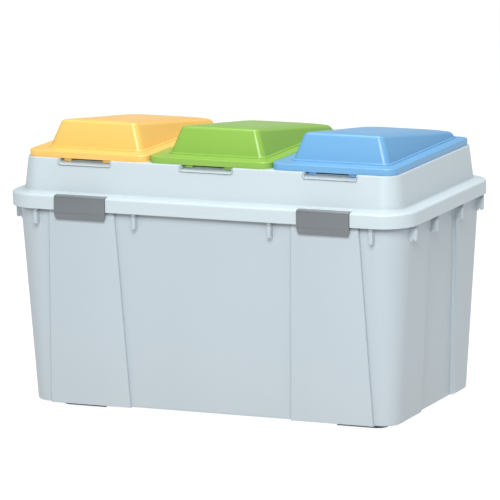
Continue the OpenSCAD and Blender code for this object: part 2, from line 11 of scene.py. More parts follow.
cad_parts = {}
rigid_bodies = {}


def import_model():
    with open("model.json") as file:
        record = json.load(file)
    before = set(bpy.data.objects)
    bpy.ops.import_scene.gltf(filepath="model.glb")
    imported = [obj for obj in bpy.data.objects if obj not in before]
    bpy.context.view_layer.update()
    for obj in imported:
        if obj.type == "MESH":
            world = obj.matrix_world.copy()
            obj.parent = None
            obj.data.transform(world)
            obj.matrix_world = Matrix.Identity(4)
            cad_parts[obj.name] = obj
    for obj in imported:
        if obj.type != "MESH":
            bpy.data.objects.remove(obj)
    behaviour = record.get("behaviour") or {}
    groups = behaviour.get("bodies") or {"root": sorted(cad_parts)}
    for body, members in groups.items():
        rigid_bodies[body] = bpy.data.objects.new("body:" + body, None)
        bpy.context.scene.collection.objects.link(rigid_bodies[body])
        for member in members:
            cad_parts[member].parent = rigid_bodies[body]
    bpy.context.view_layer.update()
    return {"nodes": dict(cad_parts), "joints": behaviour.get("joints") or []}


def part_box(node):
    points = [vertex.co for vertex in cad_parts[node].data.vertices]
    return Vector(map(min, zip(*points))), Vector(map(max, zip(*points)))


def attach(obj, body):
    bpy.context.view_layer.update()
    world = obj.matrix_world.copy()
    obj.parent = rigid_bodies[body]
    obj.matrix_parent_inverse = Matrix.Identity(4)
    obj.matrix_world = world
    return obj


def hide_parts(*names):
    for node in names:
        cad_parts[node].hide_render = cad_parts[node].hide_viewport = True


bl_info = {
    "name": "Recycling Bin Station",
    "version": (1, 0, 0),
    "blender": (4, 5, 0),
    "location": "View3D > Sidebar > Bin Station",
    "description": "Builds the shells, lids, latches, finishes and stage of a recycling bin station",
    "category": "Add Mesh",
}

for spare in list(bpy.data.objects):
    bpy.data.objects.remove(spare)
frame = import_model()
JOINTS = {joint["name"]: joint for joint in frame["joints"]}
LIDS = ("orange", "green", "blue")
CORNERS = ("front_left", "front_right", "rear_left", "rear_right")
QUARTERS = ((-1, -1), (-1, 1), (1, -1), (1, 1))
MM = 0.001
ARC = 16  # segments in each rounded corner of a plan
SHARP = 0.5  # radians between faces, from which an edge counts as sharp
LEVEL = 0.9  # a face whose normal rises more than this looks upwards
OVER = 1 * MM  # how far a tool reaches past the face that it cuts or joins
SAME = 0.1 * MM  # places nearer than this count as one
WELD = 0.001 * MM  # vertices nearer than this are merged
STRAIGHT = 0.0001 * MM  # an inset smaller than this is drawn straight up


# Sizes and colours that a user would change


def size(name, description, millimetres):
    """A length property, given in millimetres and stored in metres."""
    return FloatProperty(
        name=name, description=description, default=millimetres * MM, unit="LENGTH", precision=4
    )


def colour(name, description, red, green, blue):
    """A colour property."""
    return FloatVectorProperty(
        name=name, description=description, default=(red, green, blue), subtype="COLOR", size=3, min=0, max=1
    )


class StationSizes(bpy.types.PropertyGroup):
    """Sizes of the shells that the frame's boxes don't give by themselves."""

    skirt_corner: size("Skirt corner", "Plan radius of the cover's skirt", 62)
    skirt_height: size("Skirt height", "Height of the skirt's face", 24.4)
    skirt_round: size("Skirt rounding", "Radius of the skirt's top edge", 4)
    shelf_rise: size("Shelf rise", "Rise of the shelf up to the drafted wall", 3.6)
    foot_inset: size("Wall foot inset", "How far the drafted wall's foot stands inside the skirt", 23)
    top_inset: size("Wall top inset", "How far the drafted wall's top stands inside the skirt", 30.5)
    cover_wall: size("Cover wall", "Wall thickness of the cover", 3)
    tub_inset: size("Tub inset", "How far the tub's wall stands inside the skirt's face", 12.3)
    tub_draft: size("Tub draft", "How far each wall leans in down to the underside", 24.6)
    tub_corner: size("Tub corner", "Plan radius of the tub at the skirt's lower edge", 57)
    tub_wall: size("Tub wall", "Wall thickness of the tub", 3)
    floor: size("Floor", "Thickness of the tub's floor", 4)
    flange: size("Rim flange", "Thickness of the tub's rim flange", 4)
    panel_proud: size("Panel height", "How far the panels under the latches stand out", 6)
    panel_half: size("Panel half width", "Half width of a panel at its top", 63.6)
    panel_flare: size("Panel flare", "How much wider each side of a panel is at the underside", 15.1)
    rib: size("Rib thickness", "Thickness of the gusset ribs", 7)
    rib_drop: size("Rib length", "Length of the gusset ribs below the skirt", 30)
    lid_wall: size("Lid wall", "Wall thickness of the lids", 2.5)
    lid_corner: size("Lid corner", "Plan radius of the lids", 21)
    lid_flange: size("Lid flange", "Height of a lid's flange", 12)
    hump_front: size("Hump front", "Height of the hump's front edge above the flange", 49.5)
    hump_back: size("Hump back", "Height of the hump's back edge above the flange", 10.5)
    hump_side: size("Hump side margin", "Flange width on each side of the hump", 26)
    hump_ahead: size("Hump front margin", "Flange width in front of the hump", 40)
    hump_behind: size("Hump back margin", "Flange width behind the hump", 6)
    hump_corner: size("Hump corner", "Plan radius of the hump's corners", 13)
    hump_round: size("Hump rounding", "Radius of the hump's top edge", 6)
    tab_drop: size("Tab drop", "How far the finger tabs hang below the flange", 7)
    slot_width: size("Slot width", "Width of a finger slot", 100)
    slot_height: size("Slot height", "Height of a finger slot", 10)
    latch_width: size("Latch width", "Width of a latch", 100)
    latch_wall: size("Latch wall", "Wall thickness of a latch", 3)


class StationColours(bpy.types.PropertyGroup):
    """Base colours of the moulded and coated pieces."""

    tub: colour("Tub", "Moulded tub", 0.425, 0.49, 0.53)
    cover: colour("Cover", "Moulded cover", 0.49, 0.57, 0.605)
    orange: colour("Orange lid", "Moulded lid", 0.82, 0.49, 0.125)
    green: colour("Green lid", "Moulded lid", 0.23, 0.43, 0.065)
    blue: colour("Blue lid", "Moulded lid", 0.14, 0.35, 0.59)
    latch: colour("Latches", "Moulded latches", 0.15, 0.165, 0.177)
    divider: colour("Dividers", "Moulded dividers", 0.70, 0.74, 0.75)
    ring: colour("Bag rings", "Powder coat on the bag rings", 0.30, 0.33, 0.35)
    pin: colour("Pins", "Drawn steel pins", 0.62, 0.63, 0.64)
    foot: colour("Feet", "Rubber feet", 0.02, 0.02, 0.022)
    floor: colour("Floor", "Plain floor of the stage", 0.16, 0.16, 0.16)


def sizes():
    return bpy.context.scene.bin_station_sizes


def colours():
    return bpy.context.scene.bin_station_colours


# Modelling by hand


def only(piece):
    """Selects this piece alone and makes it the active one."""
    bpy.ops.object.select_all(action="DESELECT")
    bpy.context.view_layer.objects.active = piece
    piece.select_set(True)


def start_edit(piece):
    """Only this piece selected, in edit mode with nothing selected in it."""
    if bpy.context.object and bpy.context.object.mode != "OBJECT":
        end_edit()
    only(piece)
    bpy.ops.object.mode_set(mode="EDIT")
    bpy.ops.mesh.select_all(action="DESELECT")


def end_edit():
    bpy.ops.object.mode_set(mode="OBJECT")


def end_solid():
    """Turns all faces of the edited piece outwards and leaves edit mode."""
    bpy.ops.mesh.select_all(action="SELECT")
    bpy.ops.mesh.normals_make_consistent(inside=False)
    end_edit()


def pick(piece, kind, test):
    """Selects the vertices, edges or faces of the piece in edit mode that pass a test on the element."""
    bpy.ops.mesh.select_mode(type={"verts": "VERT", "edges": "EDGE", "faces": "FACE"}[kind])
    bpy.ops.mesh.select_all(action="DESELECT")
    mesh = bmesh.from_edit_mesh(piece.data)
    for element in getattr(mesh, kind):
        if test(element):
            element.select_set(True)
    mesh.select_flush_mode()
    bmesh.update_edit_mesh(piece.data)


def added(name, primitive, **settings):
    """A new primitive, lamp or camera under its own name, with nothing else selected."""
    bpy.ops.object.select_all(action="DESELECT")
    primitive(**settings)
    piece = bpy.context.object
    piece.name = name
    piece.data.name = name
    return piece


def pull_corners(piece, target):
    """Moves each vertex of a primitive to target(its number, its place)."""
    start_edit(piece)
    for index, vertex in enumerate([v.co.copy() for v in piece.data.vertices]):
        pick(piece, "verts", lambda v: v.index == index)
        bpy.ops.transform.translate(value=Vector(target(index, vertex)) - vertex)


def pulled_box(name, target):
    """A cube whose eight corners are pulled to target(sign x, sign y, sign z)."""
    piece = added(name, bpy.ops.mesh.primitive_cube_add, size=2)
    pull_corners(piece, lambda index, v: target(*(int(math.copysign(1, c)) for c in v)))
    end_solid()
    return piece


def block(name, corner, opposite):
    """A square box between two opposite corners."""
    low, high = tuple(map(min, corner, opposite)), tuple(map(max, corner, opposite))
    return pulled_box(name, lambda *signs: [b if sign > 0 else a for a, b, sign in zip(low, high, signs)])


def prism(name, outline, place, run):
    """An outline of flat points, put in space by place(a, b) and drawn out along run."""
    piece = added(name, bpy.ops.mesh.primitive_circle_add, vertices=len(outline), radius=1, fill_type="NGON")
    pull_corners(piece, lambda index, v: place(*outline[index]))
    bpy.ops.mesh.select_all(action="SELECT")
    bpy.ops.mesh.extrude_region_move(TRANSFORM_OT_translate={"value": run})
    end_solid()
    return piece


def rounded_sheet(name, half_x, half_y, height, radius, facing):
    """Flat rounded rectangle in edit mode, with its face selected: the start of every drafted shell."""
    piece = added(name, bpy.ops.mesh.primitive_plane_add, size=1)
    start_edit(piece)
    bpy.ops.mesh.select_all(action="SELECT")
    bpy.ops.transform.resize(value=(2 * half_x, 2 * half_y, 1))
    bpy.ops.transform.translate(value=(0, 0, height))
    bpy.ops.mesh.bevel(offset=radius, segments=ARC, affect="VERTICES")
    if facing < 0:
        bpy.ops.mesh.select_all(action="SELECT")
        bpy.ops.mesh.flip_normals()
    pick(piece, "faces", lambda f: True)
    return piece


def rounded_path(corners, steps=5):
    """A path through (inset, height, radius) corners with an arc at each corner that has a radius."""
    points = [Vector(c[:2]) for c in corners]
    path = [points[0]]
    for before, here, after, corner in zip(points, points[1:], points[2:], corners[1:]):
        radius = corner[2]
        if not radius:
            path.append(here)
            continue
        back, on = (before - here).normalized(), (after - here).normalized()
        half = back.angle(on) / 2
        centre = here + (back + on).normalized() * (radius / math.sin(half))
        first = here + back * (radius / math.tan(half)) - centre
        last = here + on * (radius / math.tan(half)) - centre
        for k in range(steps + 1):
            path.append(centre + first.normalized().slerp(last.normalized(), k / steps) * first.length)
    return path + [points[-1]]


def draw_out(path, facing):
    """Carries the selected face along a path of insets and heights, leaving a drafted and rounded wall."""
    for a, b in zip(path, path[1:]):
        rise = (0, 0, facing * (b[1] - a[1]))
        if b[0] - a[0] > STRAIGHT:
            bpy.ops.mesh.inset(thickness=b[0] - a[0], depth=0, use_even_offset=True, use_boundary=True)
            bpy.ops.transform.translate(value=rise)
        else:
            bpy.ops.mesh.extrude_region_move(TRANSFORM_OT_translate={"value": rise})


def shell(name, half_x, half_y, height, radius, path, facing=1, then=None):
    """Closed block with rounded corners, whose wall follows a path up, or down if facing is -1."""
    piece = rounded_sheet(name, half_x, half_y, height, radius, facing)
    bpy.ops.mesh.duplicate()
    bpy.ops.mesh.flip_normals()
    pick(piece, "faces", lambda f: f.normal.z * facing > 0)
    draw_out(path, facing)
    if then:
        then(piece)
    bpy.ops.mesh.select_all(action="SELECT")
    bpy.ops.mesh.remove_doubles(threshold=WELD)
    end_solid()
    return piece


def upright(name, half_x, half_y, low, high, radius):
    """Rounded rectangle drawn straight up from low to high."""
    return shell(name, half_x, half_y, low, radius, [(0, 0), (0, high - low)])


def bevel(piece, test, width, segments=3):
    """Rounds the edges that pass a test on the edge."""
    start_edit(piece)
    pick(piece, "edges", test)
    bpy.ops.mesh.bevel(offset=width, segments=segments, affect="EDGES", clamp_overlap=True)
    end_edit()


def sharp(edge):
    """Test for edges between faces that meet at more than about 30 degrees."""
    return len(edge.link_faces) == 2 and edge.calc_face_angle(0) > SHARP


def both(edge, test):
    """Whether both ends of an edge pass a test on their place."""
    return all(test(v.co) for v in edge.verts)


def climb(edge):
    """Difference in height between the ends of an edge."""
    return abs(edge.verts[0].co.z - edge.verts[1].co.z)


def apply(piece, kind, **settings):
    """Adds a modifier with its settings and applies it."""
    only(piece)
    bpy.ops.object.modifier_add(type=kind)
    modifier = piece.modifiers[-1]
    for key, value in settings.items():
        setattr(modifier, key, value)
    bpy.ops.object.modifier_apply(modifier=modifier.name)


def combine(piece, tools, operation):
    """Unites the piece with the tools, or cuts it by them, one after another, and removes the tools."""
    for tool in tools:
        apply(piece, "BOOLEAN", object=tool, operation=operation, solver="EXACT")
        bpy.data.objects.remove(tool)


def unite(piece, *tools):
    combine(piece, tools, "UNION")


def cut(piece, *tools):
    combine(piece, tools, "DIFFERENCE")


def pin_bore(centre, length, radius):
    """A cylinder along X that cuts a bore."""
    bore = added("bore", bpy.ops.mesh.primitive_cylinder_add, vertices=24, radius=radius, depth=length,
                 location=centre, rotation=(0, math.pi / 2, 0))
    bpy.ops.object.transform_apply(location=True, rotation=True, scale=True)
    return bore


def copy_of(piece, name, matrix):
    """A copy with its own mesh, its place carried in the mesh."""
    made = piece.copy()
    made.data = piece.data.copy()
    made.name = name
    made.data.name = name
    made.data.transform(matrix)
    bpy.context.scene.collection.objects.link(made)
    return made


def finished(piece, body, material, node):
    """Smooths a piece, gives it its material, ties it to its body and hides the CAD node it stands for."""
    only(piece)
    bpy.ops.object.transform_apply(location=True, rotation=True, scale=True)
    bpy.ops.object.shade_smooth_by_angle(angle=math.radians(32))
    piece.data.materials.clear()
    piece.data.materials.append(material)
    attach(piece, body)
    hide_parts(node)


# Finishes


class Wire:
    """A socket in a material; arithmetic on wires adds Math nodes."""

    def __init__(self, finish, socket):
        self.finish = finish
        self.socket = socket

    def math(self, operation, other=None, swap=False):
        values = [self] if other is None else ([other, self] if swap else [self, other])
        return self.finish.node("ShaderNodeMath", {"operation": operation}, dict(enumerate(values)))[0]

    def __add__(self, other):
        return self.math("ADD", other)

    def __sub__(self, other):
        return self.math("SUBTRACT", other)

    def __mul__(self, other):
        return self.math("MULTIPLY", other)

    def __rsub__(self, other):
        return self.math("SUBTRACT", other, swap=True)

    __radd__ = __add__
    __rmul__ = __mul__


class Finish:
    """One procedural material being wired up."""

    def __init__(self, name):
        self.material = bpy.data.materials.new(name)
        self.material.use_nodes = True
        self.tree = self.material.node_tree
        self.shader = self.tree.nodes["Principled BSDF"]
        self.place = self.node("ShaderNodeTexCoord", {}, {})["Object"]

    def node(self, kind, settings, inputs):
        """Adds a node, applies its settings, then sets or links its sockets; returns its outputs as wires."""
        made = self.tree.nodes.new(kind)
        for key, value in settings.items():
            if key == "stops":
                self.set_stops(made.color_ramp, value)
            else:
                setattr(made, key, value)
        for key, value in inputs.items():
            self.feed(made.inputs[key], value)
        return Outputs(self, made)

    def set_stops(self, ramp, stops):
        while len(ramp.elements) < len(stops):
            ramp.elements.new(1.0)
        for element, (position, value) in zip(ramp.elements, stops):
            element.position = position
            element.color = (value, value, value, 1)

    def feed(self, socket, value):
        if isinstance(value, Wire):
            self.tree.links.new(value.socket, socket)
        else:
            socket.default_value = value

    def set(self, **inputs):
        """Sets or links inputs of the surface shader, named with underscores."""
        for key, value in inputs.items():
            self.feed(self.shader.inputs[key.replace("_", " ")], value)

    def noise(self, scale, detail=2.0, roughness=0.5, stretch=(1, 1, 1)):
        """Noise on object coordinates, at so many features a metre, stretched along the axes."""
        place = self.node("ShaderNodeMapping", {}, {"Vector": self.place, "Scale": stretch})["Vector"]
        inputs = {"Vector": place, "Scale": scale, "Detail": detail, "Roughness": roughness}
        return self.node("ShaderNodeTexNoise", {}, inputs)["Fac"]

    def ramp(self, value, *stops):
        return self.node("ShaderNodeValToRGB", {"stops": stops}, {"Fac": value})["Color"]

    def tint(self, factor, low, high):
        """A colour between two, each a wire or a plain colour, by a factor."""
        low, high = (end if isinstance(end, Wire) else (*end, 1) for end in (low, high))
        inputs = {"Factor": factor, "A": low, "B": high}
        return self.node("ShaderNodeMix", {"data_type": "RGBA"}, inputs)["Result"]

    def span(self, value, start, end, first, last):
        """A number that goes from first to last as the value goes from start to end."""
        inputs = {"Value": value, "From Min": start, "From Max": end, "To Min": first, "To Max": last}
        return self.node("ShaderNodeMapRange", {"clamp": True}, inputs)["Result"]

    def bump(self, height, strength, distance):
        inputs = {"Height": height, "Strength": strength, "Distance": distance}
        self.set(Normal=self.node("ShaderNodeBump", {}, inputs)["Normal"])


class Outputs:
    """The outputs of a node, by name or number, as wires."""

    def __init__(self, finish, made):
        self.finish = finish
        self.made = made

    def __getitem__(self, key):
        if isinstance(key, int):
            return Wire(self.finish, self.made.outputs[key])
        live = [s for s in self.made.outputs if s.name == key and s.enabled]
        return Wire(self.finish, live[0])


def shade(base, amount):
    """A colour made lighter or darker by a share."""
    return tuple(min(1.0, c * amount) for c in base)


def moulded(name, base, roughness, grain=0.03 * MM, coat=0.0, dust=0.0, dust_top=0.0, shade_below=0.0):
    """Moulded polypropylene: flow clouding, spark grain, scuffs, dust low down, and painted shade just under
    an overhanging edge at a given height.
    """
    finish = Finish(name)
    up = finish.node("ShaderNodeSeparateXYZ", {}, {"Vector": finish.place})["Z"]
    clouds = finish.noise(5, 3)
    flow = finish.noise(9, 2, stretch=(1, 1, 0.25))
    scuffs = finish.ramp(finish.noise(55, 6, 0.65, stretch=(1, 1, 2.6)), (0.60, 0), (0.70, 1))
    specks = finish.ramp(finish.noise(900, 2), (0.66, 0), (0.74, 1))
    body = finish.tint(clouds * 0.6 + flow * 0.4, shade(base, 0.965), shade(base, 1.03))
    worn = finish.tint(scuffs * 0.10, body, shade(base, 1.18))
    marked = finish.tint(specks * 0.07, worn, shade(base, 0.72))
    if dust:
        veil = finish.span(up, 0.0, dust_top, 1.0, 0.0) * finish.noise(14, 4, 0.6) * dust
        marked = finish.tint(veil, marked, (0.50, 0.49, 0.46))
    # Painted shade: darkens the surface from a few millimetres below this height upwards, in place of the
    # shadow under an overhanging edge.
    if shade_below:
        painted_shade = finish.span(up, shade_below - 8.5 * MM, shade_below - 5 * MM, 0.0, 0.55)
        marked = finish.tint(painted_shade, marked, shade(base, 0.4))
    fine = finish.noise(1400, 2)
    peel = finish.noise(160, 2)
    finish.set(Base_Color=marked)
    finish.set(Roughness=clouds * 0.06 + scuffs * 0.10 + (roughness - 0.03))
    finish.set(Coat_Weight=coat, Coat_Roughness=0.18, IOR=1.49)
    finish.bump(fine * 0.55 + peel * 0.45, 0.6, grain)
    return finish.material


def drawn_steel(name, base):
    """Drawn steel rod with fine lines along its length."""
    finish = Finish(name)
    lines = finish.noise(1800, 3, stretch=(0.03, 1, 1))
    finish.set(Base_Color=finish.tint(lines, shade(base, 0.85), shade(base, 1.1)), Metallic=1.0)
    finish.set(Roughness=lines * 0.2 + 0.22)
    finish.bump(lines, 0.4, 0.02 * MM)
    return finish.material


def powder_coat(name, base):
    """Powder coat with an orange-peel surface and rubbed spots."""
    finish = Finish(name)
    peel = finish.noise(700, 2)
    rub = finish.ramp(finish.noise(40, 5, 0.6), (0.58, 0), (0.72, 1))
    finish.set(Base_Color=finish.tint(rub * 0.5, base, shade(base, 1.35)))
    finish.set(Roughness=peel * 0.12 + rub * 0.08 + 0.38)
    finish.bump(peel, 0.7, 0.06 * MM)
    return finish.material


def rubber(name, base):
    """Matt rubber, greyed by floor dust."""
    finish = Finish(name)
    dust = finish.ramp(finish.noise(60, 5, 0.6), (0.45, 0), (0.75, 1))
    grain = finish.noise(1200, 2)
    finish.set(Base_Color=finish.tint(dust * 0.35, base, (0.16, 0.155, 0.15)))
    finish.set(Roughness=dust * 0.12 + 0.72)
    finish.bump(grain, 0.8, 0.08 * MM)
    return finish.material


def painted_floor(name, base):
    """Plain pale floor with faint clouding."""
    finish = Finish(name)
    clouds = finish.noise(1.3, 3)
    finish.set(Base_Color=finish.tint(clouds, shade(base, 0.985), base))
    finish.set(Roughness=clouds * 0.05 + 0.75)
    finish.set(Emission_Color=(1, 1, 1, 1), Emission_Strength=0.92)
    return finish.material


# Places that several pieces share


class Plan:
    """Heights and half sizes worked out from the frame and the sizes."""

    def __init__(self):
        s = sizes()
        cover_low, cover_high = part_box("cover")
        tub_low, tub_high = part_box("tub")
        lid_low, lid_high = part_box("lid_green")
        self.half_w, self.half_d = cover_high.x, -cover_low.y
        self.skirt_z = cover_low.z
        self.shelf_z = self.skirt_z + s.skirt_height
        self.foot_z = self.shelf_z + s.shelf_rise
        self.deck_z = lid_low.z + s.tab_drop
        self.lid_top_z = self.deck_z + s.lid_flange
        self.base_z, self.rim_z = tub_low.z, tub_high.z
        self.flange_z = self.rim_z - s.flange
        self.lid_w, self.lid_half_d = lid_high.x - lid_low.x, -lid_low.y
        self.pitch = JOINTS["lid_blue_hinge"]["pos_m"][0]
        self.lid_x = [-self.pitch, 0, self.pitch]
        self.hinge = Vector(JOINTS["lid_green_hinge"]["pos_m"])
        self.hinge_r = self.hinge.z - self.deck_z - 1 * MM
        self.knuckle_x = (-70 * MM, 70 * MM)
        self.latch = Vector(JOINTS["latch_front_right_hinge"]["pos_m"])
        self.pocket_half = s.latch_width / 2 + 0.75 * MM
        self.pocket_back = abs(self.latch.y) - 8 * MM
        self.wall_y = s.top_inset - self.half_d
        self.wall_slope = (s.top_inset - s.foot_inset) / (self.deck_z - self.foot_z)

    def wall_inset(self, z):
        """How far the tub's outer wall stands inside the skirt's face at height z."""
        s = sizes()
        return s.tub_inset + s.tub_draft * (self.skirt_z - z) / (self.skirt_z - self.base_z)


# The pieces


class BINSTATION_OT_tub(bpy.types.Operator):
    """Model the drafted tub with its panels, side recesses, rim, ribs, ledge and guides"""

    bl_idname = "bin_station.tub"
    bl_label = "Tub"

    def execute(self, context):
        s, plan = sizes(), Plan()
        low, floor_top = plan.base_z, plan.base_z + s.floor
        tub = self.walls(s, plan, 0, low)
        cut(tub, *self.recesses(s, plan, 0))
        unite(tub, *self.panels(s, plan, 0, low))
        unite(tub, self.rim(s, plan))
        unite(tub, *self.ribs(s, plan))
        hollow = self.walls(s, plan, s.tub_wall, floor_top)
        unite(hollow, *self.panels(s, plan, s.tub_wall, floor_top))
        cut(hollow, *self.recesses(s, plan, s.tub_wall))
        cut(tub, hollow)
        unite(tub, *self.guides(s, plan))
        unite(tub, self.ledge(s, plan))
        # The tub gets painted shade just under the cover's skirt edge, where the skirt shades its wall.
        material = moulded("tub plastic", colours().tub, 0.42, dust=0.22, dust_top=160 * MM,
                           shade_below=plan.skirt_z)
        finished(tub, "base", material, "tub")
        return {"FINISHED"}

    def walls(self, s, plan, shrink, low):
        """Drafted block of the outside, or of the hollow when shrink is the wall's thickness."""
        edge_round, band = 5 * MM, 15 * MM
        top = plan.rim_z + (OVER if shrink else 0)
        inset = plan.wall_inset(top)
        deep = plan.wall_inset(low) - inset
        path = rounded_path([(0, 0, 0), (deep, top - low, edge_round), (deep + band, top - low, 0)])
        return shell("tub_shell", plan.half_w - inset - shrink, plan.half_d - inset - shrink, top,
                     s.tub_corner + s.tub_inset - inset - shrink, path, -1)

    def panels(self, s, plan, shrink, low):
        """Raised panels under the latches, on the front and the rear wall."""
        high, deep, edge_round = plan.flange_z + OVER, 30 * MM, 2.2 * MM
        outer, tall = plan.half_d - 55 * MM, 100 * MM
        made = []
        for sx, sy in QUARTERS:
            def corner(a, b, c):
                z = high if c > 0 else low
                half = s.panel_half - shrink + (0 if c > 0 else s.panel_flare)
                face = plan.half_d - plan.wall_inset(z) + s.panel_proud - shrink
                return (sx * plan.latch.x + a * half, sy * (face if b * sy > 0 else face - deep), z)

            def outside(edge):
                below_top = both(edge, lambda p: abs(p.z - high) > SAME)
                on_face = both(edge, lambda p: p.y * sy > outer)
                return sharp(edge) and on_face and (below_top or climb(edge) > tall)

            panel = pulled_box("panel", corner)
            bevel(panel, outside, edge_round, 4)
            made.append(panel)
        return made

    def recesses(self, s, plan, grow):
        """Wedges that cut the recessed middles of the side walls; they grow by the wall for the hollow."""
        low, high, tall = plan.base_z - OVER, plan.flange_z, 100 * MM
        depth_top, front_top, back_top = 5.5 * MM, 75 * MM, 56 * MM
        depth_low, front_low, back_low = 9 * MM, 62 * MM, 106 * MM
        made = []
        for side in (-1, 1):
            def corner(a, b, c):
                z = high if c > 0 else low
                inner = plan.half_w - plan.wall_inset(z) - ((depth_top if c > 0 else depth_low) + grow)
                front = -(front_top if c > 0 else front_low) - grow
                back = (back_top if c > 0 else back_low) + grow
                return (side * (inner if a * side < 0 else plan.half_w), front if b < 0 else back, z)

            def inner_upright(edge):
                return both(edge, lambda p: abs(p.x) < plan.half_w - OVER) and climb(edge) > tall

            recess = pulled_box("recess", corner)
            bevel(recess, inner_upright, 1.5 * MM)
            made.append(recess)
        return made

    def rim(self, s, plan):
        """Flange round the top of the tub."""
        inset, edge_round, band = s.cover_wall + 2 * MM, 1 * MM, 3 * MM
        path = rounded_path([(0, 0, 0), (0, s.flange, edge_round), (band, s.flange, 0)], 3)
        return shell("rim", plan.half_w - inset, plan.half_d - inset, plan.flange_z,
                     s.skirt_corner - inset, path)

    def rib_outline(self, s, plan, half):
        """A rib with a notched lower end, as (outward, up) points from the middle of the tub."""
        low, high, top = plan.skirt_z - s.rib_drop, plan.skirt_z - 0.6 * MM, plan.flange_z + OVER
        sunk = 1.5 * MM
        wall, inner = half - plan.wall_inset(low), half - s.cover_wall - 2.4 * MM
        return [
            (wall - sunk, low), (wall + 3 * MM, low), (wall + 5.5 * MM, low + 6 * MM),
            (wall + 8.5 * MM, low + 1.5 * MM), (half - 1.5 * MM, low + 2.5 * MM), (half - 1 * MM, high),
            (inner, high), (inner, top), (half - plan.wall_inset(plan.flange_z) - sunk, top),
        ]

    def ribs(self, s, plan):
        """Gusset ribs between the wall and the rim."""
        from_corner_x, from_corner_y, from_latch, side_y = 3.3 * MM, 6.8 * MM, 54 * MM, 63 * MM
        corner_x = plan.half_w - s.tub_inset - s.tub_corner
        corner_y = plan.half_d - s.tub_inset - s.tub_corner
        made = []
        for x in (corner_x + from_corner_x, plan.latch.x - s.latch_width / 2 - from_latch):
            outline = self.rib_outline(s, plan, plan.half_d)
            for sx, sy in QUARTERS:
                start = sx * x - s.rib / 2
                made.append(prism("rib", outline, lambda u, z: (start, sy * u, z), (s.rib, 0, 0)))
        for y in (corner_y + from_corner_y, side_y):
            outline = self.rib_outline(s, plan, plan.half_w)
            for sx, sy in QUARTERS:
                start = sy * y - s.rib / 2
                made.append(prism("rib", outline, lambda u, z: (sx * u, start, z), (0, s.rib, 0)))
        for rib in made:
            bevel(rib, sharp, 0.9 * MM, 2)
        return made

    def guides(self, s, plan):
        """Pairs of guide ribs for the dividers, up the inside of the front and rear walls."""
        low, high = plan.base_z + s.floor - OVER, plan.flange_z - 9 * MM
        half, apart, sunk, proud = 1.25 * MM, 3.5 * MM, 1.5 * MM, 7 * MM
        made = []
        for sx, sy in QUARTERS:
            for side in (-1, 1):
                x = sx * plan.pitch / 2 + side * apart

                def corner(a, b, c):
                    z = high if c > 0 else low
                    wall = plan.half_d - plan.wall_inset(z) - s.tub_wall
                    return (x + a * half, sy * (wall + (sunk if b * sy > 0 else -proud)), z)

                guide = pulled_box("guide", corner)
                bevel(guide, sharp, 0.6 * MM, 2)
                made.append(guide)
        return made

    def ledge(self, s, plan):
        """Ledge that the bag rings lie on, cut through where the dividers slide down."""
        thick, width, side_extra, slot_half = 3 * MM, 6 * MM, 5.5 * MM, 2.25 * MM
        high = plan.flange_z - 5 * MM
        low, under = high - thick, high - thick - OVER
        wall, corner = plan.wall_inset(high) + s.tub_wall, s.tub_corner - s.tub_wall
        outer, inner = wall - OVER, wall + width
        ring = upright("ledge", plan.half_w - outer, plan.half_d - outer, low, high, corner)
        cut(ring, upright("hole", plan.half_w - inner - side_extra, plan.half_d - inner, under, high + OVER,
                          corner - width))
        cut(ring, *self.recesses(s, plan, s.tub_wall / 2))
        for x in (-plan.pitch / 2, plan.pitch / 2):
            cut(ring, block("gap", (x - slot_half, wall - plan.half_d, under),
                            (x + slot_half, plan.half_d - wall, high + OVER)))
        return ring


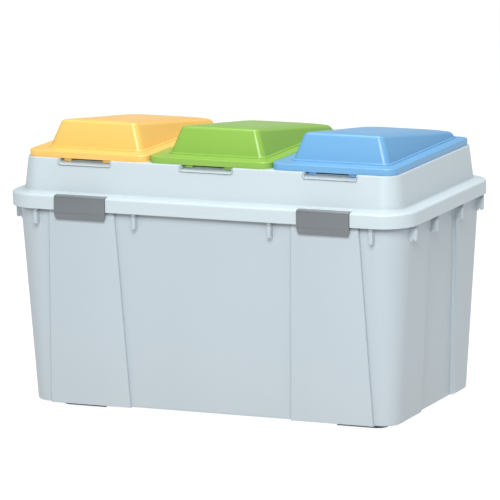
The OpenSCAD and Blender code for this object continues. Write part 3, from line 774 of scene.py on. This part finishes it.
class BINSTATION_OT_cover(bpy.types.Operator):
    """Model the cover: skirt, shelf, drafted wall, deck with mouths, finger slots, notches and ears"""

    bl_idname = "bin_station.cover"
    bl_label = "Cover"

    def execute(self, context):
        s, plan = sizes(), Plan()
        cover = self.walls(s, plan)
        unite(cover, self.seat(s, plan))
        unite(cover, *self.cheeks(s, plan))
        unite(cover, *[self.slot_frame(s, plan, x) for x in plan.lid_x])
        unite(cover, *self.ears(s, plan))
        for cutter in (self.groove, self.slot_cut):
            cut(cover, *[cutter(s, plan, x) for x in plan.lid_x])
        unite(cover, *[self.ramp(s, plan, x) for x in plan.lid_x])
        for cutter in (self.mouth, self.gap):
            cut(cover, *[cutter(s, plan, x) for x in plan.lid_x])
        cut(cover, *self.notches(plan))
        cut(cover, *self.bores(plan))
        finished(cover, "cover", moulded("cover plastic", colours().cover, 0.40), "cover")
        return {"FINISHED"}

    def walls(self, s, plan):
        """The cover from the skirt's lower edge to the deck, with the hollow cut out from below."""
        low, wall, deck = plan.skirt_z, s.cover_wall, s.top_inset + 12 * MM

        def profile(start, foot, head, shelf_round, foot_round, head_round):
            """Path up the skirt, in over the shelf, up the drafted wall and in over the deck."""
            return rounded_path([
                (0, 0, 0), (0, plan.shelf_z - start, shelf_round), (foot, plan.foot_z - start, foot_round),
                (head, plan.deck_z - start, head_round), (deck, plan.deck_z - start, 0),
            ])

        outside = profile(low, s.foot_inset, s.top_inset, s.skirt_round, 4.5 * MM, 1.8 * MM)
        inside = profile(low - OVER + 0.95 * wall, s.foot_inset + 0.2 * MM, s.top_inset - 0.35 * MM,
                         1.2 * MM, 6 * MM, 1 * MM)
        cover = shell("cover_shell", plan.half_w, plan.half_d, low, s.skirt_corner, outside)
        cut(cover, shell("hollow", plan.half_w - wall, plan.half_d - wall, low - OVER,
                         s.skirt_corner - wall, inside))
        return cover

    def seat(self, s, plan):
        """Rib under the shelf that stands on the tub's rim."""
        inset, thick, high = 10 * MM, 3 * MM, plan.shelf_z - s.cover_wall + OVER
        inner = inset + thick
        seat = upright("seat", plan.half_w - inset, plan.half_d - inset, plan.rim_z, high,
                       s.skirt_corner - inset)
        cut(seat, upright("hole", plan.half_w - inner, plan.half_d - inner, plan.rim_z - OVER, high + OVER,
                          s.skirt_corner - inner))
        return seat

    def cheeks(self, s, plan):
        """Walls of the pockets that the latches turn in."""
        half, back, thick, lap = plan.pocket_half, plan.pocket_back, 4 * MM, 0.3 * MM
        low, side_top = plan.rim_z + 0.5 * MM, plan.shelf_z - 1.7 * MM
        inner, face = back - 2.5 * MM, plan.half_d - s.cover_wall / 2
        made = []
        for sx, sy in QUARTERS:
            x = sx * plan.latch.x
            made.append(block("cheek", (x - half - thick, sy * (back + lap), low),
                              (x + half + thick, sy * inner, plan.shelf_z)))
            for side in (-1, 1):
                made.append(block("cheek", (x + side * (half - lap), sy * (back - 1 * MM), low),
                                  (x + side * (half + thick), sy * face, side_top)))
        return made

    def notches(self, plan):
        """Cuts in the skirt and shelf where the latches sit."""
        half = plan.pocket_half
        return [
            block("notch", (sx * plan.latch.x - half, sy * plan.pocket_back, plan.skirt_z - OVER),
                  (sx * plan.latch.x + half, sy * (plan.half_d + OVER), plan.foot_z + OVER))
            for sx, sy in QUARTERS
        ]

    def slot(self, s, plan, x, extra, top, ahead, deep, slope):
        """A finger slot's outline with rounded lower corners, drawn through the drafted wall."""
        half, low, radius = s.slot_width / 2 + extra, -s.slot_height - extra, 4 * MM
        turns = [math.radians(90 * k / 4) for k in range(5)]
        outline = [(half, top)]
        for side, arc in ((1, turns), (-1, turns[::-1])):
            for turn in arc:
                outline.append((side * (half - radius + radius * math.cos(turn)),
                                low + radius - radius * math.sin(turn)))
        outline.append((-half, top))
        return prism("slot", outline, lambda a, b: (x + a, plan.wall_y - ahead + b * slope, plan.deck_z + b),
                     (0, deep + ahead, 0))

    def slot_frame(self, s, plan, x):
        """Solid frame and lining of a finger slot, a little proud of the drafted wall."""
        made = self.slot(s, plan, x, extra=3.2 * MM, top=-0.4 * MM, ahead=0.7 * MM, deep=18.5 * MM,
                         slope=plan.wall_slope)
        bevel(made, lambda e: sharp(e) and both(e, lambda p: p.y < plan.wall_y + 1 * MM), 0.5 * MM, 2)
        return made

    def groove(self, s, plan, x):
        """Thin channel in the frame round a finger slot."""
        slope = plan.wall_slope
        ring = self.slot(s, plan, x, extra=2.3 * MM, top=2 * MM, ahead=4 * MM, deep=1.8 * MM, slope=slope)
        cut(ring, self.slot(s, plan, x, extra=0.8 * MM, top=3 * MM, ahead=5 * MM, deep=3 * MM, slope=slope))
        return ring

    def slot_cut(self, s, plan, x):
        """Cut of a finger slot through its frame."""
        return self.slot(s, plan, x, extra=0, top=2 * MM, ahead=6 * MM, deep=16 * MM, slope=0)

    def ramp(self, s, plan, x):
        """Sloping floor of a finger slot, from its lower lip up to the slit under the lid."""
        run, land, sunk = 15.5 * MM, 2 * MM, 0.5 * MM
        lip, half = plan.wall_y - 0.3 * MM, s.slot_width / 2 + OVER
        low, slit = plan.deck_z - s.slot_height, plan.deck_z - 5.8 * MM
        outline = [(lip, low - sunk), (lip, low + 0.2 * MM), (lip + run, slit), (lip + run + land, slit),
                   (lip + run + land, low - sunk)]
        return prism("ramp", outline, lambda a, b: (x - half, a, b), (2 * half, 0, 0))

    def mouth(self, s, plan, x):
        """Cut for one mouth through the deck."""
        side, end, radius, reach = 14 * MM, 22 * MM, 15 * MM, 15 * MM
        low = plan.deck_z - s.cover_wall - reach
        made = upright("mouth", plan.lid_w / 2 - side, plan.lid_half_d - end, low, low + 20 * MM, radius)
        made.data.transform(Matrix.Translation((x, 0, 0)))
        return made

    def gap(self, s, plan, x):
        """Cut behind a finger slot, from its pocket to the mouth."""
        half, thick = s.slot_width / 2 - 0.4 * MM, 3.5 * MM
        pocket, mouth = plan.wall_y + 15 * MM, 23 * MM - plan.lid_half_d
        return block("gap", (x - half, pocket, plan.deck_z - thick), (x + half, mouth, plan.deck_z + OVER))

    def ears(self, s, plan):
        """Ears beside each lid's two knuckles, on the deck's rear edge."""
        aside, thick = 13.25 * MM, 5 * MM
        y, z, r, deck = plan.hinge.y, plan.hinge.z, plan.hinge_r, plan.deck_z
        turns = [math.pi * k / 10 for k in range(11)]
        outline = [(y + r * math.cos(t), z + r * math.sin(t)) for t in turns]
        outline += [(y - r, deck - 2 * MM), (y - r + 2 * MM, deck - 14 * MM), (y + r, deck - 8 * MM)]
        made = []
        for x in plan.lid_x:
            for knuckle in plan.knuckle_x:
                for side in (-1, 1):
                    start = x + knuckle + side * aside - thick / 2
                    made.append(prism("ear", outline, lambda a, b: (start, a, b), (thick, 0, 0)))
                    bevel(made[-1], sharp, 0.5 * MM, 2)
        return made

    def bores(self, plan):
        """Bores for the hinge pins and the latch pins."""
        hinge_length, hinge_radius, latch_length, latch_radius = 34 * MM, 2 * MM, 109.5 * MM, 1.75 * MM
        made = []
        for x in plan.lid_x:
            for knuckle in plan.knuckle_x:
                made.append(pin_bore((x + knuckle, plan.hinge.y, plan.hinge.z), hinge_length, hinge_radius))
        for sx, sy in QUARTERS:
            centre = (sx * plan.latch.x, sy * abs(plan.latch.y), plan.latch.z)
            made.append(pin_bore(centre, latch_length, latch_radius))
        return made


class BINSTATION_OT_lids(bpy.types.Operator):
    """Model one lid with its wedge hump, plug rim, finger tabs and knuckles, and copy it in three colours"""

    bl_idname = "bin_station.lids"
    bl_label = "Lids"

    def execute(self, context):
        s, plan = sizes(), Plan()
        lid = self.solid(s, plan, 0)
        cut(lid, self.solid(s, plan, s.lid_wall))
        unite(lid, self.plug(s, plan))
        unite(lid, *self.tabs(s, plan))
        unite(lid, *self.knuckles(s, plan))
        cut(lid, *[pin_bore((x, plan.hinge.y, plan.hinge.z), 23 * MM, 2.06 * MM) for x in plan.knuckle_x])
        for name, x in zip(LIDS, plan.lid_x):
            made = copy_of(lid, f"lid_{name}_shell", Matrix.Translation((x, 0, 0)))
            base = getattr(colours(), name)
            material = moulded(f"{name} lid plastic", base, 0.36, grain=0.02 * MM, coat=0.12)
            finished(made, f"lid_{name}", material, f"lid_{name}")
        bpy.data.objects.remove(lid)
        return {"FINISHED"}

    def solid(self, s, plan, shrink):
        """Flange and hump as one block; shrink makes the hollow under them."""
        edge_round, band = 2.2 * MM, 9 * MM
        half_w, half_d = plan.lid_w / 2 - shrink, plan.lid_half_d - shrink
        low, high = plan.deck_z - (OVER if shrink else 0), plan.lid_top_z - shrink
        path = rounded_path([(0, 0, 0), (0, high - low, edge_round - 0.6 * shrink), (band, high - low, 0)], 4)
        lid = shell("lid_shell", half_w, half_d, low, s.lid_corner - shrink, path)
        unite(lid, self.hump(s, half_w, half_d, high, shrink))
        return lid

    def hump(self, s, half_w, half_d, z, shrink):
        """Low plinth and the wedge on it, whose top slopes down to the back; the hollow has no plinth."""
        plinth, step = (0 if shrink else 4 * MM), 2.8 * MM
        side, front = half_w - s.hump_side + plinth, half_d - s.hump_ahead + plinth
        back = half_d - s.hump_behind + 0.75 * plinth
        half = (front + back) / 2
        path = [(0, 0), (0, 1.6 * MM)] if shrink else rounded_path([
            (0, 0, 0), (0, step, 0.9 * MM), (plinth, step, 1.2 * MM), (plinth + 0.8 * MM, step + 2.4 * MM, 0),
        ], 4)
        inset, base = path[-1][0], path[-1][1] - OVER
        above = z + 0.6 * s.hump_back
        hump = shell(
            "hump", side, half, z - OVER, s.hump_corner - shrink + plinth, path,
            then=lambda piece: self.wedge(s, piece, side - inset, half - inset, z + base, base),
        )
        bevel(hump, lambda e: sharp(e) and both(e, lambda p: p.z > above)
              and any(f.normal.z > LEVEL for f in e.link_faces), s.hump_round - shrink, 5)
        if not shrink:
            self.crown(hump, z + (s.hump_front + s.hump_back) / 2)
        hump.data.transform(Matrix.Translation((0, (back - front) / 2, 0)))
        return hump

    def wedge(self, s, piece, half_x, half_y, z, base):
        """Draws the selected face up into a wedge that is high in front and wider behind."""
        ahead, behind, lean_behind, lean_front = 11.5 * MM, 3 * MM, 3 * MM, 17 * MM
        mean, lift = (s.hump_front + s.hump_back) / 2 - base, (s.hump_front - s.hump_back) / 2
        middle, half = (ahead - behind) / 2, half_y - (ahead + behind) / 2
        centre = (0, middle, z + mean)
        bpy.ops.mesh.extrude_region_move(TRANSFORM_OT_translate={"value": (0, middle, mean)})
        bpy.ops.transform.resize(value=(1, half / half_y, 1), center_override=centre)
        for end, lean in ((1, lean_behind), (-1, lean_front)):
            y = middle + end * half
            pick(piece, "verts", lambda v: v.co.z > z + mean / 2 and abs(v.co.y - y) < half / 2)
            bpy.ops.transform.resize(value=(1 - lean / half_x, 1, 1), center_override=centre)
        pick(piece, "verts", lambda v: v.co.z > z + mean / 2)
        slope = math.atan2(lift, half)
        bpy.ops.transform.rotate(value=slope, orient_axis="X", center_override=centre)
        mesh = bmesh.from_edit_mesh(piece.data)
        if max(v.co.z for v in mesh.verts if v.co.y < middle) < z + mean + lift / 2:
            bpy.ops.transform.rotate(value=-2 * slope, orient_axis="X", center_override=centre)

    def crown(self, piece, z):
        """Raises the middle of the sloping top a little, in steps."""
        broad, along, centre = 0.01, 0.975, (0, 4 * MM, z)
        start_edit(piece)
        pick(piece, "faces", lambda f: f.normal.z > LEVEL and f.calc_area() > broad)
        for across, rise in ((0.88, 0.9 * MM), (0.86, 0.7 * MM), (0.8, 0.5 * MM), (0.7, 0.3 * MM)):
            bpy.ops.mesh.extrude_region_move(TRANSFORM_OT_translate={"value": (0, 0, 0)})
            bpy.ops.transform.resize(value=(across, along, along), center_override=centre)
            bpy.ops.transform.translate(value=(0, 0, rise))
        end_edit()

    def plug(self, s, plan):
        """Rim under the lid that drops into the mouth."""
        half_x, half_y = plan.lid_w / 2 - 15.5 * MM, plan.lid_half_d - 21 * MM
        radius, wall = 13.5 * MM, s.lid_wall
        low, high = plan.deck_z - 6 * MM, plan.lid_top_z - wall / 2
        rim = upright("plug", half_x, half_y, low, high, radius)
        cut(rim, upright("hole", half_x - wall, half_y - wall, low - OVER, high + 2 * OVER, radius - wall))
        return rim

    def tabs(self, s, plan):
        """Two finger tabs that hang in the slot."""
        half, front, thick = 7.5 * MM, 4 * MM - plan.lid_half_d, 3 * MM
        low, high = plan.deck_z - s.tab_drop + 1.4 * MM, plan.lid_top_z - s.lid_wall / 2
        made = []
        for x in (-38 * MM, 38 * MM):
            made.append(block("tab", (x - half, front, low), (x + half, front + thick, high)))
            bevel(made[-1], sharp, 0.8 * MM)
        return made

    def knuckles(self, s, plan):
        """Hinge knuckles behind the flange, each with its arm."""
        half, arm = 10 * MM, 2 * MM
        y, z, r = plan.hinge.y, plan.hinge.z, plan.hinge_r
        start = plan.lid_half_d - s.lid_wall / 2
        turns = [math.radians(90 - 15 * k) for k in range(17)]
        outline = [(y + r * math.cos(t), z + r * math.sin(t)) for t in turns]
        outline += [(y - 0.6 * r, z - arm), (start, z - arm), (start, z + r)]
        made = []
        for x in plan.knuckle_x:
            made.append(prism("knuckle", outline, lambda a, b: (x - half, a, b), (2 * half, 0, 0)))
            bevel(made[-1], lambda e: sharp(e) and e.verts[0].co.x == e.verts[1].co.x
                  and both(e, lambda p: p.y > y - arm), 0.6 * MM, 2)
        return made


class BINSTATION_OT_latches(bpy.types.Operator):
    """Model one latch and copy it to the four corners of the rim"""

    bl_idname = "bin_station.latches"
    bl_label = "Latches"

    def execute(self, context):
        s, plan = sizes(), Plan()
        latch = self.body(s, plan)
        material = moulded("latch plastic", colours().latch, 0.40, grain=0.04 * MM)
        for name in CORNERS:
            matrix = Matrix.Translation((-plan.latch.x if name.endswith("left") else plan.latch.x, 0, 0))
            if name.startswith("rear"):
                matrix = matrix @ Matrix.Rotation(math.pi, 4, "Z")
            made = copy_of(latch, f"latch_{name}_shell", matrix)
            finished(made, f"latch_{name}", material, f"latch_{name}")
        bpy.data.objects.remove(latch)
        return {"FINISHED"}

    def outline(self, s, plan, knee):
        """Side view of the latch as (outward, up) points: crown, face, knee, curled tail, back and barrel."""
        axis, z = abs(plan.latch.y), plan.latch.z
        face, back = plan.half_d + 1.5 * MM, plan.half_d + 1.5 * MM - s.latch_wall
        tail, hook = plan.skirt_z - 17.5 * MM, plan.flange_z - 0.7 * MM

        def arc(radius, start, step, count):
            turns = [math.radians(start - step * k) for k in range(count)]
            return [(axis + radius * math.cos(t), z + radius * math.sin(t)) for t in turns]

        return arc(7 * MM, 88, 12, 6) + [
            (face - 1.7 * MM, z + 2.6 * MM), (face - 0.3 * MM, z + 2.2 * MM), (face, z + 1.2 * MM),
            (face, knee + 3 * MM), (face - 0.5 * MM, knee), (face - 1.2 * MM, knee - 1.2 * MM),
            (face - 0.8 * MM, knee - 2.2 * MM), (face - 2.4 * MM, tail + 3.6 * MM),
            (face - 3.4 * MM, tail + 1 * MM), (face - 4.4 * MM, tail), (face - 5.6 * MM, tail + 0.8 * MM),
            (back - 0.8 * MM, knee - 1 * MM), (back, knee + 2 * MM),
            (back, plan.flange_z - 7 * MM), (back - 2.4 * MM, plan.flange_z - 1.2 * MM),
            (back, hook), (back, z - 3 * MM),
        ] + arc(4 * MM, 330, 30, 9)

    def body(self, s, plan):
        """Latch about X = 0 at the front, with a curled tail, narrowed ends and rounded edges."""
        half, knee, z = s.latch_width / 2, plan.skirt_z - 4 * MM, plan.latch.z
        outline = self.outline(s, plan, knee)
        latch = prism("latch_shell", outline, lambda u, v: (-half, -u, v), (2 * half, 0, 0))
        start_edit(latch)
        for narrower, test in (
            (1.2 * MM, lambda v: v.co.z < knee - 9.6 * MM),
            (2 * MM, lambda v: v.co.z < knee - 12.2 * MM),
            (1.5 * MM, lambda v: v.co.z > z + 6.4 * MM),
        ):
            pick(latch, "verts", test)
            bpy.ops.transform.resize(value=(1 - narrower / half, 1, 1), center_override=(0, 0, 0))
        end_edit()
        bevel(latch, lambda e: sharp(e) and abs(e.verts[0].co.x) > half - 1 * MM
              and e.verts[0].co.x * e.verts[1].co.x > 0
              and both(e, lambda p: -p.y > plan.half_d - 3 * MM or p.z > z + 5 * MM), 1.1 * MM)
        cut(latch, pin_bore((0, plan.latch.y, z), 2 * half + 10 * MM, 1.81 * MM))
        return latch


class BINSTATION_OT_feet(bpy.types.Operator):
    """Model the four feet with their rounded outer corners and tread grooves"""

    bl_idname = "bin_station.feet"
    bl_label = "Feet"

    def execute(self, context):
        material = rubber("foot rubber", colours().foot)
        for name in CORNERS:
            finished(self.foot(name), "base", material, f"foot_{name}")
        return {"FINISHED"}

    def foot(self, name):
        """One foot, its outer corner rounded towards the tub's corner."""
        grooves, half, deep = 5, 1 * MM, 1.2 * MM
        low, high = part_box(f"foot_{name}")
        outer_x = low.x if name.endswith("left") else high.x
        outer_y = low.y if name.startswith("front") else high.y
        foot = block(f"foot_{name}_pad", low, (high.x, high.y, Plan().base_z))
        at_corner = lambda p: abs(p.x - outer_x) < SAME and abs(p.y - outer_y) < SAME
        bevel(foot, lambda e: both(e, at_corner), 20 * MM, 10)
        bevel(foot, lambda e: sharp(e) and both(e, lambda p: p.z < low.z + SAME), 1.5 * MM)
        bevel(foot, lambda e: sharp(e) and climb(e) > 5 * MM, 1 * MM, 2)
        for k in range(1, grooves + 1):
            y = low.y + (high.y - low.y) * k / (grooves + 1)
            cut(foot, block("groove", (low.x - OVER, y - half, low.z - OVER),
                            (high.x + OVER, y + half, low.z + deep)))
        return foot


class BINSTATION_OT_inside(bpy.types.Operator):
    """Give the dividers, bag rings and pins that the frame carries their finishes"""

    bl_idname = "bin_station.inside"
    bl_label = "Inside"

    def execute(self, context):
        c = colours()
        pin = drawn_steel("pin steel", c.pin)
        finishes = {
            "divider": moulded("divider plastic", c.divider, 0.45),
            "bag_ring": powder_coat("bag ring coat", c.ring),
            "hinge_pins": pin,
            "latch_pin": pin,
        }
        for start, material in finishes.items():
            for name, node in frame["nodes"].items():
                if name.startswith(start):
                    node.data.materials.clear()
                    node.data.materials.append(material)
        return {"FINISHED"}


class BINSTATION_OT_stage(bpy.types.Operator):
    """Lay the floor, hang the lights and set the camera"""

    bl_idname = "bin_station.stage"
    bl_label = "Stage"

    def execute(self, context):
        floor = added("floor", bpy.ops.mesh.primitive_plane_add, size=60)
        floor.data.materials.append(painted_floor("floor paint", colours().floor))
        self.light("key_softbox", place=(1.25, -3.6, 3.0), width=1.8, power=165)
        self.light("top_softbox", place=(0.1, 0.2, 3.6), width=2.2, power=102)
        context.scene.world = bpy.data.worlds.new("studio")
        context.scene.world.use_nodes = True
        sky = context.scene.world.node_tree.nodes["Background"].inputs
        sky["Color"].default_value = (1, 1, 1, 1)
        sky["Strength"].default_value = 0.29
        self.camera(context)
        context.scene.view_settings.view_transform = "Standard"
        return {"FINISHED"}

    def light(self, name, place, width, power):
        """A soft square light that faces the middle of the station."""
        lamp = added(name, bpy.ops.object.light_add, type="AREA", location=place)
        lamp.data.shape = "SQUARE"
        lamp.data.size = width
        lamp.data.energy = power
        towards = Vector((0, 0, 0.3)) - Vector(place)
        lamp.rotation_euler = towards.to_track_quat("-Z", "Y").to_euler()

    def camera(self, context):
        """A long lens from the front right, a little above the lids."""
        yaw, pitch, roll = 23.24, 10.475, -0.81
        aim, distance = (-0.0024, 0.0014, 0.2771), 9.14
        eye = added("camera", bpy.ops.object.camera_add)
        matrix = Matrix.Translation(aim)
        for angle, axis in ((yaw, "Z"), (90 - pitch, "X"), (roll, "Z")):
            matrix = matrix @ Matrix.Rotation(math.radians(angle), 4, axis)
        eye.matrix_world = matrix @ Matrix.Translation((0, 0, distance))
        eye.data.sensor_width = 36
        eye.data.lens = 362.6
        eye.data.clip_end = 200
        context.scene.camera = eye


class BINSTATION_PT_panel(bpy.types.Panel):
    """Lists the station's pieces"""

    bl_idname = "BINSTATION_PT_panel"
    bl_label = "Bin Station"
    bl_space_type = "VIEW_3D"
    bl_region_type = "UI"
    bl_category = "Bin Station"

    def draw(self, context):
        for operator in OPERATORS:
            self.layout.operator(operator.bl_idname)


OPERATORS = (
    BINSTATION_OT_tub,
    BINSTATION_OT_cover,
    BINSTATION_OT_lids,
    BINSTATION_OT_latches,
    BINSTATION_OT_feet,
    BINSTATION_OT_inside,
    BINSTATION_OT_stage,
)
CLASSES = (StationSizes, StationColours, *OPERATORS, BINSTATION_PT_panel)


def register():
    for item in CLASSES:
        bpy.utils.register_class(item)
    bpy.types.Scene.bin_station_sizes = PointerProperty(type=StationSizes)
    bpy.types.Scene.bin_station_colours = PointerProperty(type=StationColours)


def unregister():
    del bpy.types.Scene.bin_station_colours
    del bpy.types.Scene.bin_station_sizes
    for item in reversed(CLASSES):
        bpy.utils.unregister_class(item)


def main():
    register()
    bpy.ops.bin_station.stage()
    bpy.ops.bin_station.tub()
    bpy.ops.bin_station.cover()
    bpy.ops.bin_station.lids()
    bpy.ops.bin_station.latches()
    bpy.ops.bin_station.feet()
    bpy.ops.bin_station.inside()


if __name__ == "__main__":
    main()
